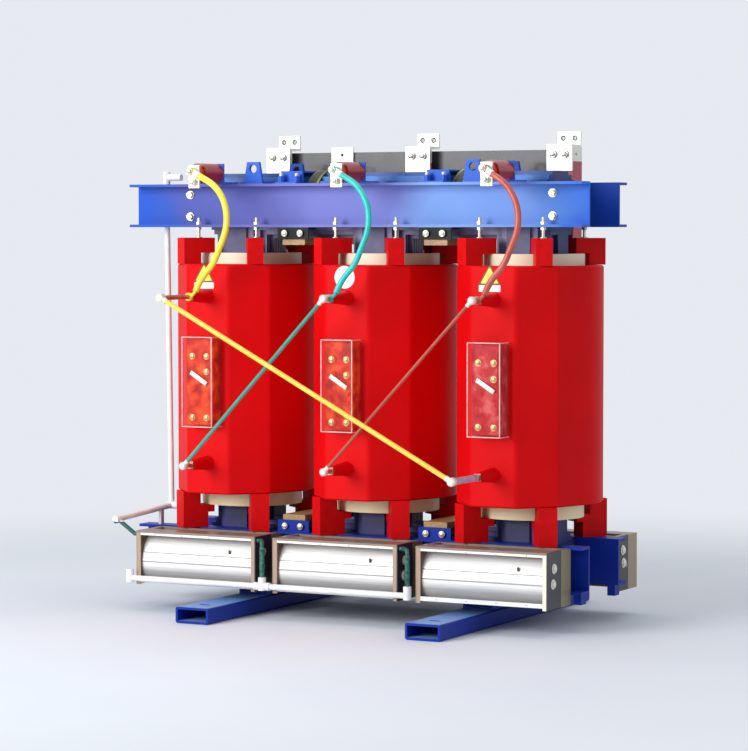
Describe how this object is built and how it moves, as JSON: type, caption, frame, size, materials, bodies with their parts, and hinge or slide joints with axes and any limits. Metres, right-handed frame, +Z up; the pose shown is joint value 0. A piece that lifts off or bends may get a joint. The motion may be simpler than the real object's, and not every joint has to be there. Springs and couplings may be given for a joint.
{
  "type": "dry type transformer",
  "caption": "Cast resin dry type power transformer: red high voltage coils on a clamped core, delta links, skids and cross-flow cooling fans.",
  "frame": {"origin": "on the floor, under the middle coil and midway between the skid ends", "axes": "+X along the row of coils, -Y the high voltage side, +Z up"},
  "size_m": [1.922, 1.335, 1.826],
  "materials": {
    "black_sleeve": "heat shrink sleeve",
    "brass": "bare brass",
    "brown_resin": "brown-red cast resin",
    "clamp_blue": "semi-gloss blue enamel",
    "clear_acrylic": "clear acrylic",
    "copper": "bare copper",
    "core_paint": "matt blue-grey resin paint",
    "cream_resin": "satin resin end seal",
    "crimson_sleeve": "heat shrink sleeve",
    "fan_sheet": "bright sheet",
    "fan_wheel": "plain aluminium",
    "glass_band": "resin bonded glass band",
    "motor_grey": "grey motor shell",
    "plank": "varnished plank",
    "pressboard": "matt pressboard",
    "red_block": "moulded block",
    "red_resin": "satin cast resin",
    "sleeve_green": "insulating sleeve",
    "sleeve_red": "insulating sleeve",
    "sleeve_yellow": "insulating sleeve",
    "tinned_copper": "tin plated",
    "white_pvc": "white conduit",
    "zinc_steel": "zinc plated"
  },
  "bodies": {
    "frame": {"blocks_lower": "red_block", "blocks_upper": "red_block", "clamp_feet": "clamp_blue", "coil_terminals": "copper", "conduit": "white_pvc", "core_limb_left": "core_paint", "core_limb_middle": "core_paint", "core_limb_right": "core_paint", "fan_housing_front_left": "fan_sheet", "fan_housing_front_middle": "fan_sheet", "fan_housing_front_right": "fan_sheet", "fan_housing_rear_left": "fan_sheet", "fan_housing_rear_middle": "fan_sheet", "fan_housing_rear_right": "fan_sheet", "fan_motors": "motor_grey", "hv_coil_left": "red_resin", "hv_coil_middle": "red_resin", "hv_coil_right": "red_resin", "lead_green": "sleeve_green", "lead_red": "sleeve_red", "lead_yellow": "sleeve_yellow", "lifting_lugs": "clamp_blue", "line_terminals": "tinned_copper", "link_green": "sleeve_green", "link_red": "sleeve_red", "link_yellow": "sleeve_yellow", "lower_clamp_front": "clamp_blue", "lower_clamp_rear": "clamp_blue", "lv_coil_left": "cream_resin", "lv_coil_middle": "cream_resin", "lv_coil_right": "cream_resin", "lv_risers": "crimson_sleeve", "lv_terminal_a": "tinned_copper", "lv_terminal_b": "tinned_copper", "lv_terminal_c": "tinned_copper", "neutral_bar": "black_sleeve", "neutral_risers": "black_sleeve", "neutral_terminal": "tinned_copper", "post_insulators": "brown_resin", "pressing_studs": "zinc_steel", "skid_left": "clamp_blue", "skid_right": "clamp_blue", "tap_covers": "clear_acrylic", "tap_terminals": "brass", "tie_bolts": "zinc_steel", "top_brackets": "clamp_blue", "upper_clamp_front": "clamp_blue", "upper_clamp_rear": "clamp_blue", "window_braces": "plank", "window_brackets": "clamp_blue", "yoke_bands": "glass_band", "yoke_lower": "core_paint", "yoke_pads": "pressboard", "yoke_upper": "core_paint"},
    "wheel_front_left": {"fan_wheel_front_left": "fan_wheel"},
    "wheel_front_middle": {"fan_wheel_front_middle": "fan_wheel"},
    "wheel_front_right": {"fan_wheel_front_right": "fan_wheel"},
    "wheel_rear_left": {"fan_wheel_rear_left": "fan_wheel"},
    "wheel_rear_middle": {"fan_wheel_rear_middle": "fan_wheel"},
    "wheel_rear_right": {"fan_wheel_rear_right": "fan_wheel"}
  },
  "joints": [
    {"name": "wheel_front_left_spin", "type": "hinge", "parent": "frame", "child": "wheel_front_left", "pos_m": [-0.612, -0.312, 0.19], "axis": [1, 0, 0], "continuous": true},
    {"name": "wheel_front_middle_spin", "type": "hinge", "parent": "frame", "child": "wheel_front_middle", "pos_m": [-0.012, -0.312, 0.19], "axis": [1, 0, 0], "continuous": true},
    {"name": "wheel_front_right_spin", "type": "hinge", "parent": "frame", "child": "wheel_front_right", "pos_m": [0.588, -0.312, 0.19], "axis": [1, 0, 0], "continuous": true},
    {"name": "wheel_rear_left_spin", "type": "hinge", "parent": "frame", "child": "wheel_rear_left", "pos_m": [-0.612, 0.312, 0.19], "axis": [1, 0, 0], "continuous": true},
    {"name": "wheel_rear_middle_spin", "type": "hinge", "parent": "frame", "child": "wheel_rear_middle", "pos_m": [-0.012, 0.312, 0.19], "axis": [1, 0, 0], "continuous": true},
    {"name": "wheel_rear_right_spin", "type": "hinge", "parent": "frame", "child": "wheel_rear_right", "pos_m": [0.588, 0.312, 0.19], "axis": [1, 0, 0], "continuous": true}
  ]
}
